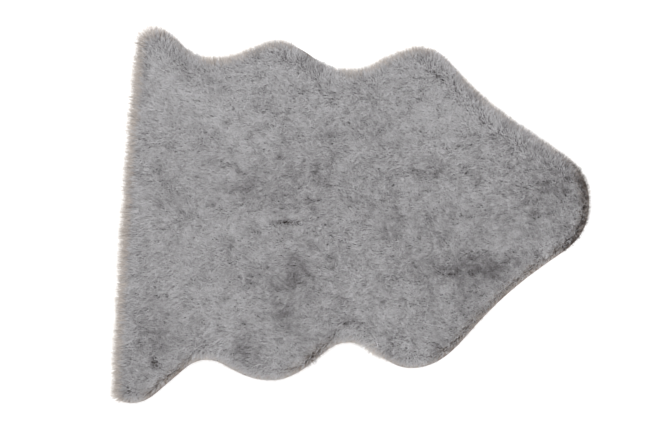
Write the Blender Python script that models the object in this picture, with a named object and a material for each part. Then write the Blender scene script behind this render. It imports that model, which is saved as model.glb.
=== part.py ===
"""Faux sheepskin rug with one straight end, built layer by layer as it is made.

A knitted ground cloth holds two kinds of pile, a dense undercoat and longer guard hair. Its
back has a latex coating that locks the pile, and a suede backing under that. The three cloths
are cut to one pattern, and a three-thread overlock wraps their common edge and holds the care
label.

Frame: metres, +X from the straight end towards the rounded tip, +Z up, floor at Z = 0.
"""

import math

import bmesh
import bpy
from mathutils import Vector
from mathutils.geometry import interpolate_bezier

# The cut cloth
CUT_LENGTH = 0.889
CUT_WIDTH = 0.697
CORNER_REACH = 0.012  # how far each rounded corner of the straight end runs along its sides
END_BOW = 1.2  # degrees by which the straight end is turned out at its corners, so that it bows
OUTLINE_STEP = 0.012  # spacing of the points along the edge

# The layers, from the floor up
BACKING_THICKNESS = 0.0020
COATING_THICKNESS = 0.0004
KNIT_THICKNESS = 0.0010
UNDERCOAT_HEIGHT = 0.0075
GUARD_HAIR_HEIGHT = 0.0080
CLEARANCE = 0.0003  # left between any two pieces

# The overlocked edge
OVERLOCK_WIDTH = 0.0050
LOOPER_THREAD = 0.0005
NEEDLE_THREAD = 0.0008
FLOOR_LIFT = 0.0001  # the backing alone touches the floor

# The pile beyond the cut edge, which leans one way
NAP_HEADING = 165.0  # degrees from +X
UNDERCOAT_SPREAD = 0.0005
GUARD_HAIR_SPREAD = 0.0020
NAP_OVERHANG = 0.0070  # added where the edge faces the way the nap leans
SHOULDER_INSET = 0.0060
SHOULDER_HEIGHT = 0.0030

# The care label
LABEL_LENGTH = 0.045
LABEL_WIDTH = 0.030
LABEL_THICKNESS = 0.00025
LABEL_TAIL = 0.0035  # how much of it is caught in the overlock
LABEL_STATION = -0.30  # its middle, as a share of the cut width

# The pattern: share of the length, share of the width, heading in degrees. It starts at the
# left corner of the straight end, and runs over the lobes and round the tip.
LEFT_SIDE = [
    (0.083, 0.500, 0),
    (0.151, 0.449, -45),
    (0.210, 0.423, 0),
    (0.352, 0.470, -3),
    (0.489, 0.390, 0),
    (0.652, 0.453, -5),
    (0.748, 0.355, -45),
    (0.945, 0.166, -36),
]
TIP = [(1.000, 0.042, -90)]
RIGHT_SIDE = [
    (0.944, -0.091, -146),
    (0.740, -0.317, -131),
    (0.622, -0.405, -180),
    (0.491, -0.335, -180),
    (0.380, -0.418, -152),
    (0.326, -0.438, -180),
    (0.250, -0.413, -207),
    (0.187, -0.382, -180),
    (0.113, -0.437, -142),
    (0.029, -0.500, -180),
]
LEFT_CORNER = (0.053, 0.493)
RIGHT_CORNER = (0.000, -0.497)
HANDLE_SHARE = 0.38  # length of a curve handle, as a share of its chord

BACKING_TOP = BACKING_THICKNESS
COATING_BASE = BACKING_TOP + CLEARANCE
COATING_TOP = COATING_BASE + COATING_THICKNESS
KNIT_BASE = COATING_TOP + CLEARANCE
KNIT_TOP = KNIT_BASE + KNIT_THICKNESS
PILE_BASE = KNIT_TOP + CLEARANCE
THREAD_TOP = PILE_BASE + max(LOOPER_THREAD, NEEDLE_THREAD)
UNDERCOAT_TOP = PILE_BASE + UNDERCOAT_HEIGHT
GUARD_HAIR_BASE = UNDERCOAT_TOP + CLEARANCE
LOOPER_OUTSIDE = CLEARANCE + LOOPER_THREAD  # how far the overlock stands out from the cut edge
LOOPER_FLOOR_TOP = FLOOR_LIFT + LOOPER_THREAD
LABEL_BASE = LOOPER_FLOOR_TOP + CLEARANCE
NEEDLE_LINE = OVERLOCK_WIDTH + CLEARANCE + NEEDLE_THREAD / 2


def clear_scene():
    for obj in list(bpy.data.objects):
        bpy.data.objects.remove(obj)


def heading_vector(degrees):
    turn = math.radians(degrees)
    return Vector((math.cos(turn), math.sin(turn), 0.0))


def on_pattern(along, across):
    """A point of the pattern, with the cut cloth centred on the origin."""
    return Vector(((along - 0.5) * CUT_LENGTH, across * CUT_WIDTH, 0.0))


def pattern_knots():
    """Every knot of the outline as (point, heading), with each corner of the straight end as two."""
    left = on_pattern(*LEFT_CORNER)
    right = on_pattern(*RIGHT_CORNER)
    end_heading = math.degrees(math.atan2(left.y - right.y, left.x - right.x))
    along_end = heading_vector(end_heading) * CORNER_REACH
    along_side = Vector((CORNER_REACH, 0.0, 0.0))
    knots = [(left + along_side, 8.0)]
    for along, across, heading in LEFT_SIDE + TIP + RIGHT_SIDE:
        knots.append((on_pattern(along, across), heading))
    knots.append((right + along_side, -185.0))
    knots.append((right + along_end, end_heading + END_BOW))
    knots.append((left - along_end, end_heading - END_BOW))
    return knots


def cut_edge():
    """The cut edge as (points, outward normals), running clockwise seen from above."""
    knots = pattern_knots()
    points = []
    for (start, start_heading), (end, end_heading) in zip(knots, knots[1:] + knots[:1]):
        chord = (end - start).length
        reach = chord * HANDLE_SHARE
        steps = max(4, round(chord / OUTLINE_STEP))
        leaving = start + heading_vector(start_heading) * reach
        arriving = end - heading_vector(end_heading) * reach
        points += interpolate_bezier(start, leaving, arriving, end, steps + 1)[:-1]
    normals = []
    for index, point in enumerate(points):
        run = points[(index + 1) % len(points)] - points[index - 1]
        normals.append(Vector((-run.y, run.x, 0.0)).normalized())
    return points, normals


EDGE_POINTS, EDGE_NORMALS = cut_edge()
NAP = heading_vector(NAP_HEADING)


def ring(outset, height, overhang=0.0):
    """The edge moved outwards, and further by overhang where it faces the way the nap leans."""
    found = []
    for point, normal in zip(EDGE_POINTS, EDGE_NORMALS):
        reach = outset + overhang * max(0.0, normal.dot(NAP))
        found.append(Vector((*(point + normal * reach).xy, height)))
    return found


def middle_of_pile():
    """The middle of the widest ring, which the origin is set under."""
    widest = ring(GUARD_HAIR_SPREAD, 0.0, NAP_OVERHANG)
    middle = Vector((0.0, 0.0, 0.0))
    for axis in (0, 1):
        reach = [point[axis] for point in widest]
        middle[axis] = (min(reach) + max(reach)) / 2
    return middle


def material(name, colour, roughness):
    made = bpy.data.materials.new(name)
    made.use_nodes = True
    shader = made.node_tree.nodes["Principled BSDF"]
    shader.inputs["Base Color"].default_value = (*colour, 1.0)
    shader.inputs["Roughness"].default_value = roughness
    shader.inputs["Metallic"].default_value = 0.0
    return made


def add_object(name, bm, base, finish, rug):
    bmesh.ops.recalc_face_normals(bm, faces=bm.faces)
    mesh = bpy.data.meshes.new(name)
    bm.to_mesh(mesh)
    bm.free()
    mesh.materials.append(finish)
    obj = bpy.data.objects.new(name, mesh)
    obj.location.z = base
    obj.parent = rug
    bpy.context.scene.collection.objects.link(obj)
    return obj


def skin(bm, rings, joined):
    """Quads between neighbouring rings, and from the last back to the first if joined."""
    loops = [[bm.verts.new(corner) for corner in each] for each in rings]
    pairs = list(zip(loops, loops[1:]))
    if joined:
        pairs.append((loops[-1], loops[0]))
    for lower, upper in pairs:
        for index in range(len(lower)):
            after = (index + 1) % len(lower)
            bm.faces.new((lower[index], lower[after], upper[after], upper[index]))
    return loops


def layer(name, rings, base, finish, rug):
    """A solid that fills its outline: rings from the bottom to the top, closed by two flat faces."""
    bm = bmesh.new()
    loops = skin(bm, rings, joined=False)
    bm.faces.new(loops[0])
    bm.faces.new(loops[-1])
    return add_object(name, bm, base, finish, rug)


def edging(name, section, base, finish, rug):
    """A solid that follows the edge with the given section of (outset, height) corners."""
    bm = bmesh.new()
    skin(bm, [ring(outset, height) for outset, height in section], joined=True)
    return add_object(name, bm, base, finish, rug)


def end_frame():
    """The place on the straight end where the label is sewn, and the end's inward direction."""
    left = on_pattern(*LEFT_CORNER)
    right = on_pattern(*RIGHT_CORNER)
    share = (LABEL_STATION * CUT_WIDTH - right.y) / (left.y - right.y)
    along = (left - right).normalized()
    return right.lerp(left, share), Vector((along.y, -along.x, 0.0))


def label_box(name, margin, bottom, top):
    """A box round the label, grown sideways by margin, from the cut edge inwards."""
    bm = bmesh.new()
    bmesh.ops.create_cube(bm, size=1.0)
    bmesh.ops.scale(
        bm,
        vec=(LABEL_LENGTH + 2 * margin, LABEL_WIDTH + 2 * margin, top - bottom),
        verts=bm.verts,
    )
    mesh = bpy.data.meshes.new(name)
    bm.to_mesh(mesh)
    bm.free()
    obj = bpy.data.objects.new(name, mesh)
    sewn, inward = end_frame()
    tail_end = OVERLOCK_WIDTH - LABEL_TAIL
    obj.location = sewn + inward * (tail_end + LABEL_LENGTH / 2)
    obj.location.z = (bottom + top) / 2
    obj.rotation_euler.z = math.atan2(inward.y, inward.x)
    bpy.context.scene.collection.objects.link(obj)
    return obj


def suede_backing(rug):
    """The underside panel. Its rim is pinched for the overlock, and it is pressed in round the label."""
    rim_inset = -(OVERLOCK_WIDTH + CLEARANCE)
    rim_base = LOOPER_FLOOR_TOP + CLEARANCE
    rings = [
        ring(rim_inset, 0.0),
        ring(rim_inset, rim_base),
        ring(0.0, rim_base),
        ring(0.0, BACKING_THICKNESS),
    ]
    backing = layer("suede_backing", rings, 0.0, SUEDE, rug)
    pocket_roof = LABEL_BASE + LABEL_THICKNESS + CLEARANCE
    pocket = label_box("label_pocket", CLEARANCE, -BACKING_THICKNESS, pocket_roof)
    pocket.parent = rug
    pocket.hide_render = True
    pocket.display_type = "WIRE"
    cut = backing.modifiers.new("pocket", "BOOLEAN")
    cut.operation = "DIFFERENCE"
    cut.solver = "EXACT"
    cut.object = pocket


def cloth(name, thickness, base, finish, rug):
    """A plain cloth cut to the pattern."""
    layer(name, [ring(0.0, 0.0), ring(0.0, thickness)], base, finish, rug)


def overlock(rug):
    """Two looper threads that meet at the middle of the edge, and the needle thread beside them."""
    middle = (FLOOR_LIFT + PILE_BASE + LOOPER_THREAD) / 2
    inside = -OVERLOCK_WIDTH
    top = PILE_BASE + LOOPER_THREAD
    upper = [
        (inside, PILE_BASE),
        (CLEARANCE, PILE_BASE),
        (CLEARANCE, middle + CLEARANCE / 2),
        (LOOPER_OUTSIDE, middle + CLEARANCE / 2),
        (LOOPER_OUTSIDE, top),
        (inside, top),
    ]
    lower = [
        (inside, LOOPER_FLOOR_TOP),
        (CLEARANCE, LOOPER_FLOOR_TOP),
        (CLEARANCE, middle - CLEARANCE / 2),
        (LOOPER_OUTSIDE, middle - CLEARANCE / 2),
        (LOOPER_OUTSIDE, FLOOR_LIFT),
        (inside, FLOOR_LIFT),
    ]
    edging("upper_looper_thread", upper, 0.0, THREAD, rug)
    edging("lower_looper_thread", lower, 0.0, THREAD, rug)
    radius = NEEDLE_THREAD / 2
    needle = []
    for side in range(6):
        turn = math.radians(60 * side)
        needle.append(
            (-NEEDLE_LINE + radius * math.cos(turn), radius + radius * math.sin(turn))
        )
    edging("needle_thread", needle, PILE_BASE, THREAD, rug)


def undercoat(rug):
    """The dense pile. It stands inside the needle thread, and spreads over the overlock above it."""
    inside = -(NEEDLE_LINE + NEEDLE_THREAD / 2 + CLEARANCE)
    ledge = THREAD_TOP + CLEARANCE - PILE_BASE
    rings = [
        ring(inside, 0.0),
        ring(inside, ledge),
        ring(UNDERCOAT_SPREAD, ledge),
        ring(UNDERCOAT_SPREAD, UNDERCOAT_HEIGHT),
    ]
    layer("undercoat", rings, PILE_BASE, UNDERFUR, rug)


def guard_hair(rug):
    """The long pile above the undercoat. It leans one way, and so overhangs that side of the edge."""
    swell = GUARD_HAIR_HEIGHT - SHOULDER_HEIGHT
    rings = [
        ring(GUARD_HAIR_SPREAD, 0.0, NAP_OVERHANG),
        ring(GUARD_HAIR_SPREAD, swell, NAP_OVERHANG),
        ring(-SHOULDER_INSET, GUARD_HAIR_HEIGHT),
    ]
    layer("guard_hair", rings, GUARD_HAIR_BASE, FUR, rug)


def care_label(rug):
    """A blank woven label, whose tail is caught between the backing and the overlock."""
    label = label_box("care_label", 0.0, LABEL_BASE, LABEL_BASE + LABEL_THICKNESS)
    label.data.materials.append(SATIN)
    label.parent = rug


clear_scene()
FUR = material("Grey acrylic guard hair", (0.33, 0.33, 0.34), 0.85)
UNDERFUR = material("Brown acrylic undercoat", (0.10, 0.08, 0.07), 0.95)
KNIT = material("Knitted polyester ground", (0.42, 0.36, 0.33), 0.90)
LATEX = material("Latex back coating", (0.62, 0.57, 0.48), 0.60)
SUEDE = material("Microsuede", (0.30, 0.24, 0.20), 0.95)
THREAD = material("Spun polyester thread", (0.38, 0.31, 0.27), 0.75)
SATIN = material("Polyester satin ribbon", (0.82, 0.81, 0.78), 0.45)

RUG = bpy.data.objects.new("rug", None)
RUG.location = -middle_of_pile()
bpy.context.scene.collection.objects.link(RUG)
suede_backing(RUG)
cloth("latex_coating", COATING_THICKNESS, COATING_BASE, LATEX, RUG)
cloth("knit_ground", KNIT_THICKNESS, KNIT_BASE, KNIT, RUG)
overlock(RUG)
undercoat(RUG)
guard_hair(RUG)
care_label(RUG)
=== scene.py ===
import math

import bpy
import numpy as np
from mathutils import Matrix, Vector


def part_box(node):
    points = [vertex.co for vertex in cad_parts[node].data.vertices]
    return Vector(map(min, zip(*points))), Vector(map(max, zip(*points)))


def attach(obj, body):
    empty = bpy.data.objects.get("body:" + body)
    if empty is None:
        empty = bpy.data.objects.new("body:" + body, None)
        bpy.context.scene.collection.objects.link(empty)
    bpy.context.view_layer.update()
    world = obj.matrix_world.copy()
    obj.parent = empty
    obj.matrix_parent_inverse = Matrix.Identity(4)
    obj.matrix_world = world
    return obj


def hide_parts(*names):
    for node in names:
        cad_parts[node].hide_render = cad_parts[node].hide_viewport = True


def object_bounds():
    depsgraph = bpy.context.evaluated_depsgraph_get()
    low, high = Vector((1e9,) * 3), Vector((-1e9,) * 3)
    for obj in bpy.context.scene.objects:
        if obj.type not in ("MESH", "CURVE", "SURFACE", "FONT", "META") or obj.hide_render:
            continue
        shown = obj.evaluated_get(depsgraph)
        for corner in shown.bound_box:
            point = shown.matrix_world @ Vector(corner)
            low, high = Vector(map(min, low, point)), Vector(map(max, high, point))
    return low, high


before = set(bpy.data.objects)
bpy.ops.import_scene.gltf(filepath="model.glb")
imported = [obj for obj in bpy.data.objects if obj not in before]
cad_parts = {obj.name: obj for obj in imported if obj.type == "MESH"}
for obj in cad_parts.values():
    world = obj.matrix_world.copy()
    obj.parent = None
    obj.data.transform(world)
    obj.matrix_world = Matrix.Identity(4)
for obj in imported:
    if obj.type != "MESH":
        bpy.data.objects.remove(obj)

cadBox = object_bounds()
mm = 0.001
latticeSide = 97             # the noise repeats after this many cells
latticeShift = 40.0          # keeps the noise's repeat off the rug
uvMargin = 0.02              # keeps a fibre's place and tone off the very ends of the ramps


# Small tools

def linearColour(hexValue, alpha=1.0):
    # an sRGB hex value to the linear colour that a shader takes
    whole = int(hexValue.lstrip("#"), 16)
    parts = np.array([whole >> 16 & 255, whole >> 8 & 255, whole & 255]) / 255
    linear = np.where(parts <= 0.04045, parts / 12.92, ((parts + 0.055) / 1.055) ** 2.4)
    return (*(float(part) for part in linear), alpha)


def addNode(tree, kind, sockets=None, stops=None, **settings):
    # one shader node: its settings, its sockets' values or links, and a ramp's stops
    node = tree.nodes.new(kind)
    for name, value in settings.items():
        setattr(node, name, value)
    for socket, value in (sockets or {}).items():
        if isinstance(value, bpy.types.NodeSocket):
            tree.links.new(value, node.inputs[socket])
        else:
            node.inputs[socket].default_value = value
    for index, (position, colour) in enumerate(stops or []):
        while len(node.color_ramp.elements) <= index:
            node.color_ramp.elements.new(1.0)
        node.color_ramp.elements[index].position = position
        node.color_ramp.elements[index].color = linearColour(colour)
    return node


def newMaterial(name):
    # an empty material and its node tree
    made = bpy.data.materials.new(name)
    made.use_nodes = True
    made.node_tree.nodes.clear()
    return made, made.node_tree


def finished(made, shader):
    # the material, with that shader on its surface
    addNode(made.node_tree, "ShaderNodeOutputMaterial", {"Surface": shader.outputs["BSDF"]})
    return made


def newPiece(name, points, faces, material, uv=None):
    # a mesh object from arrays: faces is a list of (n, 3) or (n, 4) arrays, and uv has one (u, v)
    # for each face corner
    mesh = bpy.data.meshes.new(name)
    sizes = np.concatenate([np.full(len(each), each.shape[1]) for each in faces])
    corners = np.concatenate([each.ravel() for each in faces])
    mesh.vertices.add(len(points))
    mesh.vertices.foreach_set("co", points.astype(np.float32).ravel())
    mesh.loops.add(len(corners))
    mesh.loops.foreach_set("vertex_index", corners.astype(np.int32))
    mesh.polygons.add(len(sizes))
    mesh.polygons.foreach_set("loop_start", (np.cumsum(sizes) - sizes).astype(np.int32))
    mesh.polygons.foreach_set("use_smooth", np.ones(len(sizes), dtype=bool))
    mesh.update(calc_edges=True)
    if uv is not None:
        layer = mesh.uv_layers.new(name="OFBake")
        layer.data.foreach_set("uv", uv.astype(np.float32).ravel())
    mesh.materials.append(material)
    piece = bpy.data.objects.new(name, mesh)
    bpy.context.scene.collection.objects.link(piece)
    return piece


def softNoise(places, size, seed):
    # values from -1 to 1 on a square lattice of that size, eased between its corners
    lattice = np.random.default_rng(seed).uniform(-1, 1, (latticeSide, latticeSide))
    scaled = places[:, :2] / size + latticeShift
    cell = np.floor(scaled).astype(int)
    share = scaled - cell
    share = share * share * (3 - 2 * share)
    x0, y0 = (cell % latticeSide).T
    x1, y1 = ((cell + 1) % latticeSide).T
    low = lattice[x0, y0] * (1 - share[:, 0]) + lattice[x1, y0] * share[:, 0]
    high = lattice[x0, y1] * (1 - share[:, 0]) + lattice[x1, y1] * share[:, 0]
    return low * (1 - share[:, 1]) + high * share[:, 1]


def layeredNoise(places, layers):
    # several noises added up, each given as (size, strength, seed)
    return sum(strength * softNoise(places, size, seed) for size, strength, seed in layers)


# The cut edge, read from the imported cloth, and the field of distances from it

cloth = {
    "samples": 1152,         # points along the cut edge
    "smoothing": 3.0 * mm,
    "topTolerance": 0.01 * mm,
    "gridStep": 2.5 * mm,
    "gridMargin": 30 * mm,
    "outwardBlur": 6,        # rounds of averaging, so that the hair fans out at a corner
    "leastAgreement": 0.05,  # below this, two sides pull apart so evenly that no way is outward
    "heart": (-170 * mm, 40 * mm),  # every point of the edge can be seen from here
    "rings": (0.05, 0.35, 0.7),  # shares of the way from the heart to the edge
    "ringInset": 0.4 * mm,
    "flat": (0.697, 0.889),  # the width and length that the outline is cut from
}


def cutEdge(node):
    # the rim of the node's top face, walked in order, then spaced evenly and smoothed
    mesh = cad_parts[node].data
    corners = np.empty(len(mesh.vertices) * 3)
    mesh.vertices.foreach_get("co", corners)
    corners = corners.reshape(-1, 3)
    triangles = np.empty(len(mesh.loops), dtype=int)
    mesh.loops.foreach_get("vertex_index", triangles)
    triangles = triangles.reshape(-1, 3)
    flat = (corners[triangles][:, :, 2] > corners[:, 2].max() - cloth["topTolerance"]).all(axis=1)
    places, merged = np.unique(np.round(corners[:, :2], 6), axis=0, return_inverse=True)
    top = merged.reshape(-1)[triangles[flat]]
    starts = np.concatenate([top[:, 0], top[:, 1], top[:, 2]])
    ends = np.concatenate([top[:, 1], top[:, 2], top[:, 0]])
    onRim = ~np.isin(starts * len(places) + ends, ends * len(places) + starts)
    after = dict(zip(starts[onRim].tolist(), ends[onRim].tolist()))
    walk = [next(iter(after))]
    while after[walk[-1]] != walk[0]:
        walk.append(after[walk[-1]])
    rim = places[walk + walk[:1]]
    run = np.concatenate([[0], np.cumsum(np.linalg.norm(np.diff(rim, axis=0), axis=1))])
    even = np.linspace(0, run[-1], cloth["samples"], endpoint=False)
    points = np.stack([np.interp(even, run, rim[:, 0]), np.interp(even, run, rim[:, 1])], axis=1)
    spacing = run[-1] / cloth["samples"]
    offsets = np.minimum(np.arange(cloth["samples"]), cloth["samples"] - np.arange(cloth["samples"]))
    weights = np.exp(-0.5 * (offsets * spacing / cloth["smoothing"]) ** 2)
    weights = np.fft.rfft(weights / weights.sum())[:, None]
    points = np.fft.irfft(np.fft.rfft(points, axis=0) * weights, n=cloth["samples"], axis=0)
    tangents = np.roll(points, -1, axis=0) - np.roll(points, 1, axis=0)
    tangents /= np.linalg.norm(tangents, axis=1)[:, None]
    return points, tangents, np.stack([tangents[:, 1], -tangents[:, 0]], axis=1), run[-1]


edgePoints, edgeTangents, edgeNormals, edgeLength = cutEdge("knit_ground")
print(f"cut edge read: {edgeLength:.3f} m round")

gridLow = edgePoints.min(axis=0) - cloth["gridMargin"]
gridHigh = edgePoints.max(axis=0) + cloth["gridMargin"]
gridCount = np.ceil((gridHigh - gridLow) / cloth["gridStep"]).astype(int) + 1
gridX = gridLow[0] + np.arange(gridCount[0]) * cloth["gridStep"]
gridY = gridLow[1] + np.arange(gridCount[1]) * cloth["gridStep"]


def edgeField():
    # for each grid point: how far inside the cut edge it lies, which way is out, and how sharply
    # the edge turns there
    inside = np.empty((gridCount[0], gridCount[1]))
    outward = np.empty((gridCount[0], gridCount[1], 2))
    for column, x in enumerate(gridX):
        apart = np.stack([np.full(len(gridY), x), gridY], axis=1)[:, None, :] - edgePoints[None, :, :]
        nearest = (apart ** 2).sum(axis=2).argmin(axis=1)
        chosen = apart[np.arange(len(gridY)), nearest]
        side = (chosen * edgeNormals[nearest]).sum(axis=1)
        inside[column] = -np.sign(side) * np.linalg.norm(chosen, axis=1)
        outward[column] = edgeNormals[nearest]
    for _ in range(cloth["outwardBlur"]):
        outward[1:-1] = (outward[:-2] + 2 * outward[1:-1] + outward[2:]) / 4
        outward[:, 1:-1] = (outward[:, :-2] + 2 * outward[:, 1:-1] + outward[:, 2:]) / 4
    agreed = np.linalg.norm(outward, axis=2)
    return inside, outward / np.maximum(agreed, cloth["leastAgreement"])[:, :, None], 1 - agreed


edgeInside, edgeOutward, edgeCorner = edgeField()


def fromGrid(layer, places):
    # a grid layer's value at each place, shared out between the four grid points round it
    scaled = (places[:, :2] - gridLow) / cloth["gridStep"]
    cell = np.clip(np.floor(scaled).astype(int), 0, gridCount - 2)
    share = np.clip(scaled - cell, 0, 1)
    x, y = cell[:, 0], cell[:, 1]
    along, up = share[:, 0], share[:, 1]
    if layer.ndim == 3:
        along, up = along[:, None], up[:, None]
    low = layer[x, y] * (1 - along) + layer[x + 1, y] * along
    high = layer[x, y + 1] * (1 - along) + layer[x + 1, y + 1] * along
    return low * (1 - up) + high * up


# The nap: which way the pile leans, and where it is parted

nap = {
    "heading": 162,          # degrees from +X
    "lean": 0.50,            # 0 stands up, 1 lies flat
    "swirls": [(130 * mm, 20, 11), (42 * mm, 24, 12), (13 * mm, 30, 13)],  # size, degrees, seed
    "leanSwing": [(24 * mm, 0.18, 14), (7 * mm, 0.108, 15)],  # size, change of lean, seed
    "rootLine": 6.2 * mm,    # the outermost roots stand this far inside the cut edge
    # which way the edge faces, in degrees from +X, and three lists by it: how far the hairs there
    # turn outwards, how much painted light makes the pile paler or painted shade makes it darker close
    # to the edge, and how far the brown undercoat shows through the edge hair
    "edgeFaces": (-115, -90, -60, -30, 0, 30, 60, 90, 112, 150, 188),
    "splay": (0.50, 0.50, 0.58, 0.58, 0.52, 0.60, 0.92, 0.92, 0.92, 0.92, 0.92),
    "edgeLightAndShade": (0.30, 0.45, 0.12, -0.1, 0, -0.12, -0.13, -0.02, 0.0, -0.1, -0.16),
    "edgeBrown": (0, 0, 0.03, 0.34, 0.14, 0, 0, 0, 0, 0, 0),
    "splayFacing": (-0.75, -0.45, -0.2, 0.1, 0.3),  # how far the edge faces the nap, from -1 to 1
    "splayReach": (3.2 * mm, 19 * mm, 22 * mm, 18 * mm, 11 * mm),  # and how far in the splay reaches
    "splayOverNap": 0.8,     # how much of the nap's own lean is lost where the hair is splayed
    "spreadFacing": (-1, -0.7, -0.4, 0.9),
    "spreadShare": (0.2, 0.6, 1.4, 1.1),  # how uneven the fibres' length is, by that facing
    "travel": 9 * mm,        # from a hair's root to where its end is seen
    "tipBand": 15 * mm,      # at the tip the pile stands up in a band this wide
    "tipBandSwing": (12 * mm, 0.3, 16),   # size, share, seed
    "tipStart": 388 * mm,    # where the band begins along the rug
    "tipStartSwing": (9 * mm, 10 * mm, 17),
    "tipFull": 414 * mm,     # and where it is full
    "tipFade": 1.6,          # how steeply it fades inwards
    "tipLift": 0.6,          # how much of its lean the pile loses in the band
    "partingLift": 0.75,     # and in a parting
    "partingPush": 0.9,
    "partingCore": 0.25,     # how softly the push turns round on the line, in half widths
    "partingReach": 2.6,     # where a parting ends, in half widths
    # from x, y to x, y, then half width, all in mm, and how far it opens
    "partings": [
        (-146, -10, -104, -5, 3.6, 1.1), (-108, -7, -64, 7, 5, 0.26),
        (-66, 88, -44, 60, 6, 0.2), (-92, 60, -58, 66, 6, 0.22), (-84, 34, -70, 10, 6, 0.2),
        (34, 106, 64, 74, 5, 0.28), (48, 88, 42, 60, 5, 0.22),
        (248, -102, 300, -78, 11, 0.2), (128, -110, 240, -98, 8, 0.2), (176, -104, 204, -99, 4, 0.28),
        (338, 3, 372, 7, 4, 0.3), (372, 7, 402, 9, 4, 0.22), (403, 74, 408, 64, 3.5, 0.55),
        (397, 51, 401, 47, 3.5, 0.5), (323, 155, 328, 150, 3.5, 0.5), (384, 96, 392, 84, 4, 0.3),
        (360, 66, 372, 60, 5, 0.3), (-228, 51, -190, 60, 8, 0.2), (-112, -110, -78, -130, 9, 0.22),
        (-136, -186, -118, -178, 5, 0.4), (-377, -264, -375, -278, 5, 0.8),
        (-214, -246, -200, -254, 6, 0.3), (-14, -200, 2, -194, 6, 0.3),
        (150, -238, 166, -246, 6, 0.3), (20, -150, 34, -160, 6, 0.2),
        (-40, 162, -42, 34, 6, 0.14), (40, 246, 38, 70, 6, 0.14), (82, 22, 80, -72, 6, 0.14),
        (82, 3, 279, 3, 6, 0.12), (82, 87, 279, 90, 6, 0.12),
        (-54, 150, -38, 160, 6, 0.35), (104, 212, 114, 198, 5, 0.35), (153, 76, 183, 104, 4, 0.38),
        (156, 268, 168, 262, 4.5, 0.42), (162, -34, 170, -62, 4, 0.28),
    ],
    # uneven places along the edge: middle x, y and radius in mm, how much longer or shorter all the
    # hair near the edge is there, and how much browner the edge hair is
    "edgePlaces": [
        (-88, 302, 30, -0.52, 0), (190, 285, 24, -0.30, 0), (140, -276, 40, -0.24, 0),
        (-65, -266, 30, 0.7, 0.45), (32, -250, 26, 0.9, 0), (-372, 346, 20, 0.65, 0),
        (-403, 315, 17, -0.35, 0), (-318, 322, 12, -0.6, 0.3), (405, -50, 34, 0, 0.30),
        (290, -145, 40, -0.1, 0)],
    "flecks": 1500,          # small partings scattered over the pile
    "fleckSkew": 0.8,        # below 1, there are more of them towards the tip
    "fleckLength": (2 * mm, 10 * mm),
    "fleckPull": (0.05, 0.34),
    "fleckWidth": (2.4 * mm, 4.2 * mm),
}


def partingField():
    # every parting pushes the pile away from its line, least at its edges
    rng = np.random.default_rng(21)
    lines = [np.array(line) * np.array([mm, mm, mm, mm, mm, 1]) for line in nap["partings"]]
    low, high = edgePoints.min(axis=0), edgePoints.max(axis=0)
    for _ in range(nap["flecks"]):
        x = low[0] + (high[0] - low[0]) * rng.uniform() ** nap["fleckSkew"]
        y = rng.uniform(low[1], high[1])
        turn = rng.uniform(0, math.pi)
        reach = rng.uniform(*nap["fleckLength"]) / 2
        pull = rng.uniform(*nap["fleckPull"])
        along, up = math.cos(turn) * reach, math.sin(turn) * reach
        width = rng.uniform(*nap["fleckWidth"])
        lines.append(np.array([x - along, y - up, x + along, y + up, width, pull]))
    push = np.zeros((gridCount[0], gridCount[1], 2))
    depth = np.zeros((gridCount[0], gridCount[1]))
    for x0, y0, x1, y1, width, pull in lines:
        margin = nap["partingReach"] * width
        spanX = slice(*np.searchsorted(gridX, [min(x0, x1) - margin, max(x0, x1) + margin]))
        spanY = slice(*np.searchsorted(gridY, [min(y0, y1) - margin, max(y0, y1) + margin]))
        dx, dy = np.meshgrid(gridX[spanX] - x0, gridY[spanY] - y0, indexing="ij")
        run = np.array([x1 - x0, y1 - y0])
        share = np.clip((dx * run[0] + dy * run[1]) / (run @ run), 0, 1)
        away = np.stack([dx - share * run[0], dy - share * run[1]], axis=2)
        distance = np.linalg.norm(away, axis=2)
        strength = pull * np.exp(-(distance / width) ** 2)
        push[spanX, spanY] += away * (strength / (distance + nap["partingCore"] * width))[:, :, None]
        depth[spanX, spanY] = np.maximum(depth[spanX, spanY], strength)
    return push, depth


partPush, partDepth = partingField()
print("nap and partings laid out")


def seenPlace(roots):
    # where the ends of the fibres rooted at those places are seen
    heading = math.radians(nap["heading"])
    return roots + nap["travel"] * np.array([math.cos(heading), math.sin(heading)])


def towardsNap(roots):
    # 1 where the nearest edge faces the way the pile leans, -1 where it faces the other way
    heading = math.radians(nap["heading"])
    return fromGrid(edgeOutward, roots) @ np.array([math.cos(heading), math.sin(heading)])


def byEdgeFacing(roots, values):
    # the values are listed by the way that the nearest edge faces
    outward = fromGrid(edgeOutward, roots)
    facing = np.degrees(np.arctan2(outward[:, 1], outward[:, 0]))
    return np.interp(facing, nap["edgeFaces"], values, period=360)


def tipBand(roots):
    # 1 in the band at the tip, and fading out inwards and along both sides
    start = nap["tipStart"] + layeredNoise(roots, [nap["tipStartSwing"]])
    along = np.clip((roots[:, 0] - start) / (nap["tipFull"] - nap["tipStart"]), 0, 1)
    width = nap["tipBand"] * (1 + layeredNoise(roots, [nap["tipBandSwing"]]))
    return along * np.clip(nap["tipFade"] * (1 - fromGrid(edgeInside, roots) / width), 0, 1)


def edgePlace(roots):
    # the change of length and the browning at the edge's uneven places
    changes = np.zeros((2, len(roots)))
    for x, y, radius, longer, browner in nap["edgePlaces"]:
        apart = np.hypot(roots[:, 0] / mm - x, roots[:, 1] / mm - y)
        changes += np.outer((longer, browner), np.exp(-(apart / radius) ** 2))
    return changes


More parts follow.
